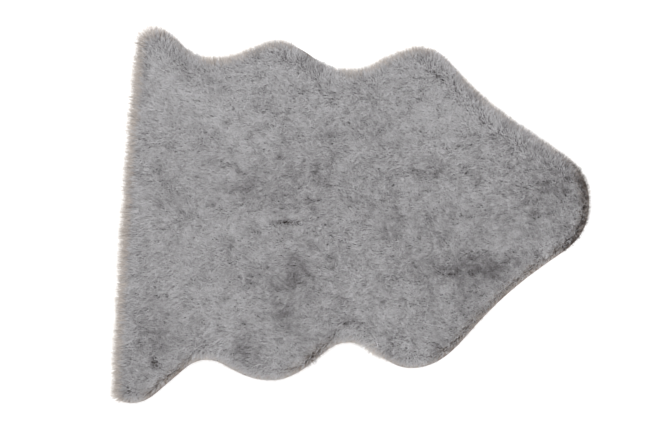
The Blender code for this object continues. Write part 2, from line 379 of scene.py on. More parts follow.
def napLean(roots):
    # the lean of each fibre as a vector: nap, swirls, partings, and the splay at the edge
    turn = np.radians(nap["heading"] + layeredNoise(roots, nap["swirls"]))
    amount = nap["lean"] + layeredNoise(roots, nap["leanSwing"])
    amount *= 1 - nap["partingLift"] * fromGrid(partDepth, seenPlace(roots))
    amount *= 1 - nap["tipLift"] * tipBand(roots)
    lean = np.stack([np.cos(turn), np.sin(turn)], axis=1) * amount[:, None]
    lean += nap["partingPush"] * fromGrid(partPush, seenPlace(roots))
    fromLine = np.maximum(fromGrid(edgeInside, roots) - nap["rootLine"], 0)
    reach = np.interp(towardsNap(roots), nap["splayFacing"], nap["splayReach"])
    turned = np.exp(-(fromLine / reach) ** 2)[:, None]
    splay = byEdgeFacing(roots, nap["splay"])[:, None]
    return lean * (1 - nap["splayOverNap"] * turned) + fromGrid(edgeOutward, roots) * splay * turned


def nearestLocks(roots, spacing, seed):
    # the middle of the lock that each fibre belongs to: the nearest point of a jittered grid
    repeat = 64
    jitter = np.random.default_rng(seed).uniform(0.1, 0.9, (repeat, repeat, 2))
    cell = np.floor(roots / spacing).astype(int)
    best = np.full(len(roots), np.inf)
    found = np.zeros((len(roots), 2))
    for stepX in (-1, 0, 1):
        for stepY in (-1, 0, 1):
            near = cell + [stepX, stepY]
            middle = (near + jitter[near[:, 0] % repeat, near[:, 1] % repeat]) * spacing
            distance = ((middle - roots) ** 2).sum(axis=1)
            closer = distance < best
            best[closer] = distance[closer]
            found[closer] = middle[closer]
    return found


def scatterRoots(spacing, seed, keep):
    # one root in each square of a grid over the rug, moved about at random, where keep allows
    rng = np.random.default_rng(seed)
    low, high = edgePoints.min(axis=0), edgePoints.max(axis=0)
    columns, rows = np.arange(low[0], high[0], spacing), np.arange(low[1], high[1], spacing)
    roots = np.stack([each.ravel() for each in np.meshgrid(columns, rows, indexing="ij")], axis=1)
    roots += rng.uniform(0, spacing, roots.shape)
    return roots[keep(roots, rng)]


def fibreLengths(roots, pile, rng, seed):
    # uneven everywhere, changed near the edge by the way it faces, and shorter in the partings
    swing = zip(pile["unevenSizes"], pile["unevenness"], (seed + 1, seed + 2))
    length = pile["length"] * (1 + layeredNoise(roots, swing))
    limit = pile["spreadLimit"]
    spread = rng.normal(0, pile["lengthSpread"], len(roots)).clip(-limit, limit)
    length *= 1 + spread * np.interp(towardsNap(roots), nap["spreadFacing"], nap["spreadShare"])
    closeness = np.exp(-(fromGrid(edgeInside, roots) / pile["gainReach"]) ** 2)
    length *= 1 + byEdgeFacing(roots, pile["gain"]) * closeness
    length *= 1 + pile["cornerGain"] * fromGrid(edgeCorner, roots).clip(0, pile["cornerLimit"])
    length *= 1 + edgePlace(roots)[0] * closeness
    depth = fromGrid(partDepth, seenPlace(roots))
    return length * (1 - pile["partingLoss"] * depth - pile["tipLoss"] * tipBand(roots))


def leafStrips(line, half):
    # each leaf is pairs of points along its line, half a width to either side, closing to one
    # point at the tip, with quads between the pairs and a triangle at the tip
    count, bends = len(line), line.shape[1] - 1
    points = np.empty((count, 2 * bends + 1, 3))
    points[:, 0:2 * bends:2] = line[:, :bends] - half[:, :bends]
    points[:, 1:2 * bends:2] = line[:, :bends] + half[:, :bends]
    points[:, 2 * bends] = line[:, bends]
    first = (np.arange(count) * (2 * bends + 1))[:, None]
    rung = first + 2 * np.arange(bends - 1)[None, :]
    quads = np.stack([rung, rung + 2, rung + 3, rung + 1], axis=2).reshape(-1, 4)
    last = first[:, 0] + 2 * bends
    return points.reshape(-1, 3), quads, np.stack([last - 2, last, last - 1], axis=1)


def growFibres(name, roots, pile, material, seed):
    # each fibre is a narrow leaf along a bending line: it leaves the ground steeply, then lies over
    # towards its tip
    rng = np.random.default_rng(seed)
    count, bends = len(roots), pile["bends"]
    lean = napLean(roots) * pile["leanShare"] + rng.normal(0, pile["stray"], (count, 2))
    amount = np.linalg.norm(lean, axis=1)
    heading = lean / np.maximum(amount, 1e-6)[:, None]
    across = np.stack([-heading[:, 1], heading[:, 0]], axis=1)
    amount = np.clip(amount, 0, 1)
    step = (fibreLengths(roots, pile, rng, seed) / bends)[:, None]
    middles = ((np.arange(bends) + 0.5) / bends) ** pile["bendPower"]
    tilt = np.radians(pile["rootTilt"]) + np.radians(pile["tipTilt"]) * amount[:, None] * middles
    start = np.zeros((count, 1))
    outAlong = np.concatenate([start, np.cumsum(np.sin(tilt) * step, axis=1)], axis=1)
    upAlong = np.concatenate([start, np.cumsum(np.cos(tilt) * step, axis=1)], axis=1)
    share = np.arange(bends + 1) / bends
    toLock = (nearestLocks(roots, pile["lockSpacing"], seed + 3) - roots) * pile["lockPull"]
    line = np.empty((count, bends + 1, 3))
    line[:, :, :2] = roots[:, None, :] + heading[:, None, :] * outAlong[:, :, None]
    line[:, :, :2] += toLock[:, None, :] * (share ** pile["lockPower"])[None, :, None]
    crimp = rng.normal(0, pile["crimp"], (count, bends + 1)) * np.minimum(2 * share, 1)[None, :]
    line[:, :, :2] += crimp[:, :, None] * across[:, None, :]
    base = pile["base"] + rng.uniform(0, pile["baseSpread"], count)
    room = pile["ceiling"] - base[:, None] - upAlong
    soft = pile["crownSoftness"]
    line[:, :, 2] = pile["ceiling"] - np.where(room < soft, soft * np.exp(room / soft - 1), room)
    roll = np.radians(rng.normal(0, pile["roll"], count))[:, None]
    side = np.concatenate([across * np.cos(roll), np.sin(roll)], axis=1)
    width = pile["width"] * rng.uniform(*pile["widthRange"], count)
    profile = np.interp(share, *pile["leafShape"])
    half = side[:, None, :] * (width[:, None] * profile[None, :] / 2)[:, :, None]
    points, quads, tips = leafStrips(line, half)
    tone = np.clip(pile["tone"](roots, line[:, -2, :2], rng), uvMargin, 1 - uvMargin)
    along = np.repeat(share, 2)[:-1] * (1 - 2 * uvMargin) + uvMargin
    pointUv = np.stack(np.broadcast_arrays(along, tone[:, None]), axis=2).reshape(-1, 2)
    uv = np.concatenate([pointUv[quads.ravel()], pointUv[tips.ravel()]])
    return newPiece(name, points, [quads, tips], material, uv)


# Materials of the pile

def acrylicFibre(name, darkLock, paleLock, sheen):
    # spun acrylic pile: matte, tinted along each fibre from root to tip, darker in some locks and
    # paler in others; on the guard and edge hair the tone that mixes the two also carries painted light
    # and painted shade
    made, tree = newMaterial(name)
    place = addNode(tree, "ShaderNodeUVMap", uv_map="OFBake")
    split = addNode(tree, "ShaderNodeSeparateXYZ", {"Vector": place.outputs["UV"]})
    dark = addNode(tree, "ShaderNodeValToRGB", {"Fac": split.outputs["X"]}, stops=darkLock)
    pale = addNode(tree, "ShaderNodeValToRGB", {"Fac": split.outputs["X"]}, stops=paleLock)
    mixed = addNode(tree, "ShaderNodeMixRGB", {"Fac": split.outputs["Y"], "Color1": dark.outputs["Color"],
                                               "Color2": pale.outputs["Color"]})
    shader = addNode(tree, "ShaderNodeBsdfPrincipled", {
        "Base Color": mixed.outputs["Color"], "Roughness": 0.72, "Specular IOR Level": 0.25,
        "Sheen Weight": sheen, "Sheen Roughness": 0.45})
    return finished(made, shader)


guardAcrylic = acrylicFibre(
    "grey acrylic guard hair",
    [(0.0, "#2c2422"), (0.25, "#4a413e"), (0.50, "#676262"), (0.80, "#7c797b"), (1.0, "#888689")],
    [(0.0, "#443b38"), (0.22, "#7c7676"), (0.45, "#b5b3b5"), (0.80, "#cecdcf"), (1.0, "#d9d8d9")], 0.25)
rimAcrylic = acrylicFibre(
    "grey acrylic edge hair, browner at the root",
    [(0.0, "#1f1816"), (0.35, "#342a25"), (0.70, "#473c36"), (1.0, "#5c4f48")],
    [(0.0, "#85776f"), (0.30, "#b8aca5"), (0.65, "#cec6c0"), (1.0, "#ded7cf")], 0.25)
undercoatAcrylic = acrylicFibre(
    "brown acrylic undercoat hair",
    [(0.0, "#1e1816"), (0.5, "#3a302d"), (1.0, "#544844")],
    [(0.0, "#332925"), (0.5, "#5d504b"), (1.0, "#7d706a")], 0.1)


def packedUndercoat():
    # undercoat seen end on between the hairs: a dark brown crowd of fibre ends, each under a millimetre
    made, tree = newMaterial("packed brown acrylic undercoat")
    place = addNode(tree, "ShaderNodeTexCoord").outputs["Object"]
    ends = addNode(tree, "ShaderNodeTexNoise", {"Vector": place, "Scale": 900.0, "Detail": 3.0,
                                                "Roughness": 0.6})
    patches = addNode(tree, "ShaderNodeTexNoise", {"Vector": place, "Scale": 60.0, "Detail": 2.0})
    mixed = addNode(tree, "ShaderNodeMath", {0: ends.outputs["Fac"], 1: patches.outputs["Fac"]},
                    operation="MULTIPLY")
    ramp = addNode(tree, "ShaderNodeValToRGB", {"Fac": mixed.outputs["Value"]},
                   stops=[(0.12, "#1a1412"), (0.26, "#352b28"), (0.42, "#54473f")])
    bump = addNode(tree, "ShaderNodeBump", {"Height": ends.outputs["Fac"], "Strength": 0.8,
                                            "Distance": 0.8 * mm})
    shader = addNode(tree, "ShaderNodeBsdfPrincipled", {
        "Base Color": ramp.outputs["Color"], "Normal": bump.outputs["Normal"], "Roughness": 0.95,
        "Specular IOR Level": 0.1})
    return finished(made, shader)


# Solids that follow the cut edge

def laidSolid(name, rows, material, every=1, relief=None):
    # rings from the middle of the underside, out to the edge, and back to the middle of the top.
    # each row is (share of the way from the heart to the edge, inset from the cut edge, height)
    rows = np.array(rows, dtype=float)
    rim, normals = edgePoints[::every], edgeNormals[::every]
    heart = np.array(cloth["heart"])
    moved = rim[None, :, :] - normals[None, :, :] * rows[:, 1][:, None, None]
    flat = heart + (moved - heart) * rows[:, 0][:, None, None]
    heights = np.broadcast_to(rows[:, 2][:, None], flat.shape[:2])
    points = np.concatenate([flat, heights[:, :, None]], axis=2)
    points = np.concatenate([points.reshape(-1, 3), [[*heart, rows[0, 2]], [*heart, rows[-1, 2]]]])
    if relief is not None:
        points = relief(points)
    count, around = len(rows), len(rim)
    row = np.arange(count - 1)[:, None] * around
    here = np.arange(around)[None, :]
    after = (here + 1) % around
    quads = np.stack([row + here, row + after, row + around + after, row + around + here], axis=2)
    here, after = here[0], after[0]
    top = (count - 1) * around
    under = np.stack([after, here, np.full(around, count * around)], axis=1)
    over = np.stack([top + here, top + after, np.full(around, count * around + 1)], axis=1)
    return newPiece(name, points, [quads.reshape(-1, 4), under, over], material)


def shareRows(shares, inset, height):
    return [(share, inset, height) for share in shares]


# Guard hair, edge hair and undercoat

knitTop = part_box("knit_ground")[1].z
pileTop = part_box("guard_hair")[1].z
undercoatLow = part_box("undercoat")[0].z


guardTones = {
    "straightEnd": 0.80,     # 0 is the dark ramp, 1 the pale one
    "tipwardShade": 0.09,            # painted shade: darker by this much at the tip of the rug
    # broad patches of painted shade and painted light, where the brushed pile takes the light less or more:
    # middle x, y and half sizes in mm, and the change of tone
    "patches": [
        (-143, 50, 95, 42, -0.187), (-59, 74, 30, 30, -0.11), (-104, -108, 26, 38, -0.462),
        (-130, -180, 18, 20, -0.396), (-3, -197, 18, 16, -0.242), (-209, -246, 24, 22, -0.242),
        (-372, -212, 48, 80, -0.286), (245, -99, 78, 21, -0.407), (372, 48, 40, 66, -0.176),
        (185, -231, 52, 20, -0.22), (-284, 219, 80, 60, 0.132), (150, 185, 120, 70, 0.22),
        (72, -193, 48, 38, 0.132), (-237, -156, 52, 40, 0.099), (-228, -71, 45, 30, 0.088),
        (222, 41, 85, 13, 0.121), (262, -50, 55, 18, 0.187), (140, -30, 60, 60, 0.066),
        (230, 205, 60, 50, 0.165), (-170, -60, 40, 50, -0.088), (-20, 250, 420, 150, 0.077),
        (-115, -212, 26, 30, -0.088), (300, 150, 80, 40, 0.066), (-265, -285, 30, 22, -0.132),
        (-420, -340, 30, 26, -0.154), (-46, 154, 18, 14, -0.165), (110, 205, 18, 16, -0.165),
    ],
    "single": 0.09,          # how much single hairs differ
    "locks": [(60 * mm, 0.08, 31), (26 * mm, 0.11, 32), (12 * mm, 0.12, 33), (6 * mm, 0.15, 35),
              (3.4 * mm, 0.22, 36)],  # size, change of tone, seed
    "unevenness": (0.82, 0.5),  # the share of both at the straight end, and what the tip adds
    # painted light: the pile is paler close to the edge, where the bright floor lights the fringe, and how
    # far in it reaches
    "edgePaintedLight": 0.09,
    "edgePaintedLightReach": 16 * mm,
    # how far in the painted light and shade by the edge's facing reaches
    "edgeLightAndShadeReach": 14 * mm,
    # painted shade: how much darker the pile is in a parting's groove
    "partingPaintedShade": 0.5,
    "tipDarkAndShade": (0.62, 0.2),  # in the band at the tip: how much darker, for the brown roots showing there and for painted shade, and how unevenly
    "tipSpeckle": (3.8 * mm, 0.9, 37),
}


def guardTone(roots, ends, rng):
    # a little paler towards the straight end, as painted shade darkens it towards the tip, with broad
    # patches of painted light and painted shade, and with locks darker and paler than the rest; painted
    # light close to the edge and painted light and shade by its facing, painted shade in the partings,
    # and in the band at the tip darker roots with painted shade
    share = (ends[:, 0] - cadBox[0].x) / (cadBox[1].x - cadBox[0].x)
    inside = fromGrid(edgeInside, ends)
    # painted shade, darker towards the tip
    tone = guardTones["straightEnd"] - guardTones["tipwardShade"] * share
    # the broad patches paint in shade and light
    for x, y, halfX, halfY, change in guardTones["patches"]:
        apart = ((ends[:, 0] / mm - x) / halfX) ** 2 + ((ends[:, 1] / mm - y) / halfY) ** 2
        tone += change * np.exp(-apart)
    uneven = rng.normal(0, guardTones["single"], len(roots)) + layeredNoise(ends, guardTones["locks"])
    tone += uneven * (guardTones["unevenness"][0] + guardTones["unevenness"][1] * share)
    # painted light close to the edge
    tone += guardTones["edgePaintedLight"] * np.exp(-(inside / guardTones["edgePaintedLightReach"]) ** 2)
    # painted light and painted shade by the way the nearest edge faces
    paintedLightAndShade = byEdgeFacing(ends, nap["edgeLightAndShade"])
    tone += paintedLightAndShade * np.exp(-(inside / guardTones["edgeLightAndShadeReach"]) ** 2)
    # in the band at the tip: darker roots showing, with painted shade, speckled
    darker = rng.normal(*guardTones["tipDarkAndShade"], len(roots))
    darker += layeredNoise(ends, [guardTones["tipSpeckle"]])
    # painted shade in the partings
    return tone - guardTones["partingPaintedShade"] * fromGrid(partDepth, ends) - tipBand(ends) * darker


edgeTones = {
    # the edge hair's tone, part its own colour and part painted light on the brightly lit fringe
    "middle": 0.93,
    "towardsNap": 0.05,      # paler where the pile leans out over the edge
    "single": 0.10,
    "locks": [(9 * mm, 0.08, 34), (3.6 * mm, 0.14, 38)],
    # how much of the painted light and shade by the edge's facing the edge hair takes
    "lightAndShadeShare": 0.6,
    # in the band at the tip: the roots' brown, and painted shade where the tip faces away from the light
    "tipBrownAndShade": 0.9,
    "brown": (1.0, 0.3),     # how strong the brown is where it shows, at the tip partly painted shade, and how unevenly
    "brownSpeckle": (3.8 * mm, 1.1, 37),
}


def edgeTone(roots, ends, rng):
    # pale where the pile leans out over the edge, with painted light and painted shade by the way the
    # edge faces, and brown and speckled in the band at the tip, there partly painted shade, and wherever
    # the edge shows brown
    tone = edgeTones["middle"] + edgeTones["towardsNap"] * towardsNap(roots)
    tone += rng.normal(0, edgeTones["single"], len(roots)) + layeredNoise(ends, edgeTones["locks"])
    # painted light and painted shade by the way the edge faces
    tone += edgeTones["lightAndShadeShare"] * byEdgeFacing(ends, nap["edgeLightAndShade"])
    brown = byEdgeFacing(roots, nap["edgeBrown"]) + edgePlace(roots)[1]
    # the tip band's brown is partly painted shade
    brown += edgeTones["tipBrownAndShade"] * tipBand(roots)
    strength = rng.normal(*edgeTones["brown"], len(roots))
    return tone - brown * (strength + layeredNoise(ends, [edgeTones["brownSpeckle"]]))


def undercoatTone(roots, ends, rng):
    return rng.normal(undercoatHair["toneMiddle"], undercoatHair["toneSpread"], len(roots))


guardHair = {
    "pieces": 6,
    "spacing": 1.38 * mm,
    "rootInset": 8.0 * mm,
    "bends": 3,
    "length": 21 * mm,
    "lengthSpread": 0.10,
    "spreadLimit": 0.4,
    "unevenSizes": (30 * mm, 5 * mm),
    "unevenness": (0.10, 0.10),  # how much the length varies over each of those
    "width": 1.0 * mm,
    "widthRange": (0.65, 1.35),
    "leafShape": ([0, 0.35, 0.7, 1], [0.7, 1.0, 0.8, 0.0]),  # shares of the length and of the width
    "base": knitTop + 1.0 * mm,
    "baseSpread": 1.2 * mm,
    "ceiling": pileTop + 3 * mm,
    "crownSoftness": 4 * mm,  # the crown eases off this far under the ceiling
    "leanShare": 1.0,
    "stray": 0.27,
    "crimp": 0.55 * mm,      # how far a fibre wanders to either side
    "rootTilt": 16,
    "tipTilt": 84,
    "bendPower": 0.8,        # below 1, a fibre bends more near its root
    "lockSpacing": 5.5 * mm,
    "lockPull": 0.36,
    "lockPower": 1.4,        # above 1, the pull is felt more near the tip
    "partingGap": 1.3,       # how far fibres that would hide a parting are left out
    "partingLoss": 0.30,     # how much shorter it is in a parting
    "tipLoss": 0.42,         # and in the band at the tip
    "roll": 20,
    # added length by the way that the edge faces, and how far in it reaches
    "gain": (-0.42, -0.36, -0.20, -0.22, -0.16, -0.1, 0.0, 0.12, 0.0, 0.12, 0.15),
    "gainReach": 16 * mm,
    "cornerGain": 0,         # added length where the edge turns sharply
    "cornerLimit": 0.4,
    "tone": guardTone,
}
edgeHair = dict(
    guardHair, spacing=0.69 * mm, rootInset=6.2 * mm, rootReach=11 * mm, rootThinning=(0.15, 1),
    width=0.55 * mm, length=18.5 * mm, lengthSpread=0.24, unevenness=(0.08, 0.04), stray=0.2, roll=35,
    lockSpacing=4.5 * mm, lockPull=0.2, gainReach=1.0, cornerGain=1.7, tipLoss=-0.22, tone=edgeTone,
    gain=(-0.42, -0.35, -0.33, -0.28, -0.16, -0.06, -0.27, 0.13, 0.03, 0.33, 0.46))
undercoatHair = dict(
    guardHair, spacing=1.75 * mm, rootInset=6.6 * mm, length=9.5 * mm, lengthSpread=0.15, leanShare=0.6,
    stray=0.25, ceiling=pileTop, partingLoss=0.0, tipLoss=-0.2, tone=undercoatTone, toneMiddle=0.5,
    toneSpread=0.22, thinnest=0.12, edgeThickness=0.9, edgeReach=12 * mm, partingThickness=0.8)


def clearOfPartings(roots, rng):
    # fewer fibres whose ends would hide a parting
    opened = guardHair["partingGap"] * fromGrid(partDepth, seenPlace(roots)) ** 2
    inside = fromGrid(edgeInside, roots)
    return (inside > guardHair["rootInset"]) & (rng.uniform(0, 1, len(roots)) > opened)


guardRoots = scatterRoots(guardHair["spacing"], 41, clearOfPartings)
guardRoots = guardRoots[np.argsort(guardRoots[:, 0], kind="stable")]
# one seed for all the bands, so that locks and noise run on from each to the next
pileShown = [growFibres(f"guard_hair_band_{number}", roots, guardHair, guardAcrylic, 50)
             for number, roots in enumerate(np.array_split(guardRoots, guardHair["pieces"]), 1)]
print(f"guard hair grown: {len(guardRoots)} fibres in {guardHair['pieces']} bands")


def closeToEdge(roots, rng):
    # thinner the further in they stand
    inside = fromGrid(edgeInside, roots)
    reach = edgeHair["rootReach"] * rng.uniform(*edgeHair["rootThinning"], len(roots))
    return (inside > edgeHair["rootInset"]) & (inside < edgeHair["rootInset"] + reach)


def whereItShows(roots, rng):
    # thick near the edge and in the partings, thin elsewhere
    inside = fromGrid(edgeInside, roots)
    nearness = np.exp(-(inside - undercoatHair["rootInset"]) / undercoatHair["edgeReach"])
    wanted = undercoatHair["thinnest"] + undercoatHair["edgeThickness"] * nearness
    wanted += undercoatHair["partingThickness"] * fromGrid(partDepth, roots)
    return (inside > undercoatHair["rootInset"]) & (rng.uniform(0, 1, len(roots)) < wanted)


edgeRoots = scatterRoots(edgeHair["spacing"], 42, closeToEdge)
edgePile = growFibres("guard_hair_edge", edgeRoots, edgeHair, rimAcrylic, 60)
undercoatRoots = scatterRoots(undercoatHair["spacing"], 43, whereItShows)
undercoatPile = growFibres("undercoat_hair", undercoatRoots, undercoatHair, undercoatAcrylic, 70)
print(f"edge hair grown: {len(edgeRoots)}, undercoat: {len(undercoatRoots)}")

undercoatBed = {
    "inset": 6.8 * mm,
    "depth": 4.2 * mm,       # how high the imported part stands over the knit
    "edgeDrop": 0.55,        # how much lower it is at its edge
    "edgeReach": 5 * mm,
    "lumps": [(11 * mm, 0.7 * mm, 71), (28 * mm, 0.49 * mm, 72)],  # size, height, seed
    "partingDip": 2.0 * mm,
    "leastDepth": 0.6 * mm,
    "underRings": (0.04, 0.3, 0.6, 0.9, 1.0),  # shares of the way from the heart to the edge
    "topRings": np.linspace(1.0, 0.016, 62),
}


def bedRelief(points):
    # the top rises from the edge, is lumpy, and dips under the partings
    top = points[:, 2] > undercoatLow + undercoatBed["depth"] / 2
    fromEdge = (fromGrid(edgeInside, points) - undercoatBed["inset"]) / undercoatBed["edgeReach"]
    height = undercoatBed["depth"] * (1 - undercoatBed["edgeDrop"] * np.exp(-fromEdge))
    height += layeredNoise(points, undercoatBed["lumps"])
    height -= undercoatBed["partingDip"] * fromGrid(partDepth, points)
    points[top, 2] = undercoatLow + np.maximum(height[top], undercoatBed["leastDepth"])
    return points


bedTop = undercoatLow + undercoatBed["depth"]
bedRows = shareRows(undercoatBed["underRings"], undercoatBed["inset"], undercoatLow)
bedRows += shareRows(undercoatBed["topRings"], undercoatBed["inset"], bedTop)
undercoatBody = laidSolid("undercoat_bed", bedRows, packedUndercoat(), every=2, relief=bedRelief)


# Knitted ground and latex coating

def warpKnit():
    # polyester warp knit: rows of loops 1.1 mm apart, soft and matte
    made, tree = newMaterial("warp knitted polyester ground")
    place = addNode(tree, "ShaderNodeTexCoord").outputs["Object"]
    wales, courses = [
        addNode(tree, "ShaderNodeTexWave", {"Vector": place, "Scale": scale, "Distortion": distortion,
                                            "Detail": 1.0}, bands_direction=way)
        for way, scale, distortion in (("X", 143.0, 0.6), ("Y", 175.0, 0.8))]
    loops = addNode(tree, "ShaderNodeMath", {0: wales.outputs["Fac"], 1: courses.outputs["Fac"]},
                    operation="MULTIPLY")
    ramp = addNode(tree, "ShaderNodeValToRGB", {"Fac": loops.outputs["Value"]},
                   stops=[(0.0, "#4d4039"), (0.45, "#756459"), (1.0, "#93816f")])
    bump = addNode(tree, "ShaderNodeBump", {"Height": loops.outputs["Value"], "Strength": 0.7,
                                            "Distance": 0.3 * mm})
    shader = addNode(tree, "ShaderNodeBsdfPrincipled", {
        "Base Color": ramp.outputs["Color"], "Normal": bump.outputs["Normal"], "Roughness": 0.9,
        "Specular IOR Level": 0.2, "Sheen Weight": 0.15, "Sheen Roughness": 0.5})
    return finished(made, shader)


def driedLatex():
    # knife-spread latex, dried: a dull cream film with faint streaks and pinholes
    made, tree = newMaterial("dried latex back coating")
    place = addNode(tree, "ShaderNodeTexCoord").outputs["Object"]
    drawn = addNode(tree, "ShaderNodeMapping", {"Vector": place, "Scale": (8.0, 120.0, 1.0)})
    streaks = addNode(tree, "ShaderNodeTexNoise", {"Vector": drawn.outputs["Vector"], "Scale": 1.0,
                                                   "Detail": 4.0})
    pinholes = addNode(tree, "ShaderNodeTexVoronoi", {"Vector": place, "Scale": 420.0})
    ramp = addNode(tree, "ShaderNodeValToRGB", {"Fac": streaks.outputs["Fac"]},
                   stops=[(0.3, "#a99c83"), (0.7, "#c9bda3")])
    bump = addNode(tree, "ShaderNodeBump", {"Height": pinholes.outputs["Distance"], "Strength": 0.3,
                                            "Distance": 0.2 * mm})
    shader = addNode(tree, "ShaderNodeBsdfPrincipled", {
        "Base Color": ramp.outputs["Color"], "Normal": bump.outputs["Normal"], "Roughness": 0.6})
    return finished(made, shader)


def plainCloth(name, node, material):
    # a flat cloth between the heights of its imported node, with slightly rounded cut edges
    low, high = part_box(node)
    soft, inset, rings = (high.z - low.z) / 4, cloth["ringInset"], cloth["rings"]
    rows = shareRows(rings, inset, low.z) + [(1, soft, low.z), (1, 0, low.z + soft)]
    rows += [(1, 0, high.z - soft), (1, soft, high.z)] + shareRows(rings[::-1], inset, high.z)
    return laidSolid(name, rows, material)


knitCloth = plainCloth("knitted_ground", "knit_ground", warpKnit())
latexFilm = plainCloth("latex_film", "latex_coating", driedLatex())
print("ground cloth and coating laid")


# Care label, blank, under the straight end

def labelFrame():
    # the label's middle, inward direction, length and width, from its packed box
    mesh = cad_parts["care_label"].data
    corners = np.empty(len(mesh.vertices) * 3)
    mesh.vertices.foreach_get("co", corners)
    corners = np.unique(np.round(corners.reshape(-1, 3)[:, :2], 6), axis=0)
    middle = corners.mean(axis=0)
    inward = np.linalg.svd(corners - middle)[2][0]
    inward = inward * np.sign(inward[0])
    sideways = np.array([-inward[1], inward[0]])
    along, across = (corners - middle) @ inward, (corners - middle) @ sideways
    return middle, inward, sideways, np.ptp(along), np.ptp(across)


labelMiddle, labelInward, labelSideways, labelLength, labelWidth = labelFrame()


def satinRibbon():
    # polyester satin: off-white, with fine diagonal floats and a soft gloss
    made, tree = newMaterial("polyester satin ribbon")
    place = addNode(tree, "ShaderNodeTexCoord").outputs["Object"]
    turned = addNode(tree, "ShaderNodeMapping", {"Vector": place, "Rotation": (0.0, 0.0, math.radians(35))})
    floats = addNode(tree, "ShaderNodeTexWave", {"Vector": turned.outputs["Vector"], "Scale": 314.0,
                                                 "Distortion": 0.4})
    cloud = addNode(tree, "ShaderNodeTexNoise", {"Vector": place, "Scale": 90.0})
    both = addNode(tree, "ShaderNodeMath", {0: floats.outputs["Fac"], 1: cloud.outputs["Fac"]},
                   operation="MULTIPLY")
    ramp = addNode(tree, "ShaderNodeValToRGB", {"Fac": both.outputs["Value"]},
                   stops=[(0.0, "#cfccc4"), (0.6, "#e9e6df")])
    bump = addNode(tree, "ShaderNodeBump", {"Height": floats.outputs["Fac"], "Strength": 0.25,
                                            "Distance": 0.1 * mm})
    shader = addNode(tree, "ShaderNodeBsdfPrincipled", {
        "Base Color": ramp.outputs["Color"], "Normal": bump.outputs["Normal"], "Roughness": 0.38,
        "Sheen Weight": 0.2, "Sheen Roughness": 0.4})
    return finished(made, shader)


ribbon = {
    "lengthPoints": 61,
    "widthPoints": 33,
    "thickness": 0.7,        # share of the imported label's
    "lift": 0.06 * mm,
    "ripple": 0.05 * mm,
}


def careLabel():
    # a flat ribbon, rippled a little along its length: two skins joined round their rims
    low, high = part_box("care_label")
    shape = ribbon["lengthPoints"], ribbon["widthPoints"]
    along, across = np.meshgrid(*(np.linspace(-0.5, 0.5, count) for count in shape), indexing="ij")
    flat = labelMiddle + along[:, :, None] * labelInward * labelLength
    flat = flat + across[:, :, None] * labelSideways * labelWidth
    ripple = ribbon["ripple"] * np.sin(along * 21 + 2 * across) * np.cos(across * 3)
    under = low.z + ribbon["lift"] + ripple
    over = under + (high.z - low.z) * ribbon["thickness"]
    skins = np.stack([np.concatenate([flat, height[:, :, None]], axis=2) for height in (under, over)])
    count = shape[0] * shape[1]
    index = np.arange(count).reshape(shape)
    cells = np.stack([index[:-1, :-1], index[1:, :-1], index[1:, 1:], index[:-1, 1:]], axis=2).reshape(-1, 4)
    rim = np.concatenate([index[:-1, 0], index[-1, :-1], index[:0:-1, -1], index[0, :0:-1]])
    after = np.roll(rim, -1)
    walls = np.stack([rim, after, after + count, rim + count], axis=1)
    faces = [cells[:, ::-1], cells + count, walls]
    return newPiece("blank_care_label", skins.reshape(-1, 3), faces, satinRibbon())


label = careLabel()


# Suede backing

suede = {
    "rimInset": 5.3 * mm,    # the overlock grips this much
    "rimSlope": 0.3 * mm,    # half the width of the step that it makes, and the softness of the cut
    "pinch": 0.9 * mm,       # how far the gripped rim is pressed up
    "innerRings": (*np.linspace(0.03, 0.78, 12), *np.linspace(0.79, 1.0, 27)),
    "topRings": (0.8, 0.5, 0.2, 0.04),
    "pocketMargin": 0.3 * mm,
    "pocketSlope": 2.4 * mm,
    "pocketDepth": 1.45 * mm,
}


def microsuede():
    # brushed microfibre: very matte, blotched where the nap was stroked, with a pale bloom at grazing angles
    made, tree = newMaterial("brushed brown microsuede")
    place = addNode(tree, "ShaderNodeTexCoord").outputs["Object"]
    strokes = addNode(tree, "ShaderNodeTexNoise", {
        "Vector": addNode(tree, "ShaderNodeMapping", {"Vector": place, "Rotation": (0, 0, 0.5),
                                                      "Scale": (14.0, 34.0, 14.0)}).outputs["Vector"],
        "Scale": 1.0, "Detail": 4.0, "Roughness": 0.55, "Distortion": 0.8})
    fibres = addNode(tree, "ShaderNodeTexNoise", {"Vector": place, "Scale": 1500.0, "Detail": 2.0})
    both = addNode(tree, "ShaderNodeMixRGB", {"Fac": 0.35, "Color1": strokes.outputs["Fac"],
                                              "Color2": fibres.outputs["Fac"]})
    ramp = addNode(tree, "ShaderNodeValToRGB", {"Fac": both.outputs["Color"]},
                   stops=[(0.34, "#5b4b43"), (0.5, "#6f5e54"), (0.66, "#857367")])
    bump = addNode(tree, "ShaderNodeBump", {"Height": fibres.outputs["Fac"], "Strength": 0.35,
                                            "Distance": 0.25 * mm})
    shader = addNode(tree, "ShaderNodeBsdfPrincipled", {
        "Base Color": ramp.outputs["Color"], "Normal": bump.outputs["Normal"], "Roughness": 0.93,
        "Specular IOR Level": 0.15, "Sheen Weight": 0.4, "Sheen Roughness": 0.4})
    return finished(made, shader)


def pocketRelief(points):
    # the underside is pressed up round the label, with a slope about two millimetres wide
    low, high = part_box("suede_backing")
    offset = points[:, :2] - labelMiddle
    pastEnd = np.abs(offset @ labelInward) - labelLength / 2 - suede["pocketMargin"]
    pastSide = np.abs(offset @ labelSideways) - labelWidth / 2 - suede["pocketMargin"]
    past = np.clip(np.maximum(pastEnd, pastSide) / suede["pocketSlope"], 0, 1)
    pressed = suede["pocketDepth"] * (1 - past * past * (3 - 2 * past))
    under = points[:, 2] < (low.z + high.z) / 2
    points[under, 2] = np.maximum(points[under, 2], low.z + pressed[under])
    return points


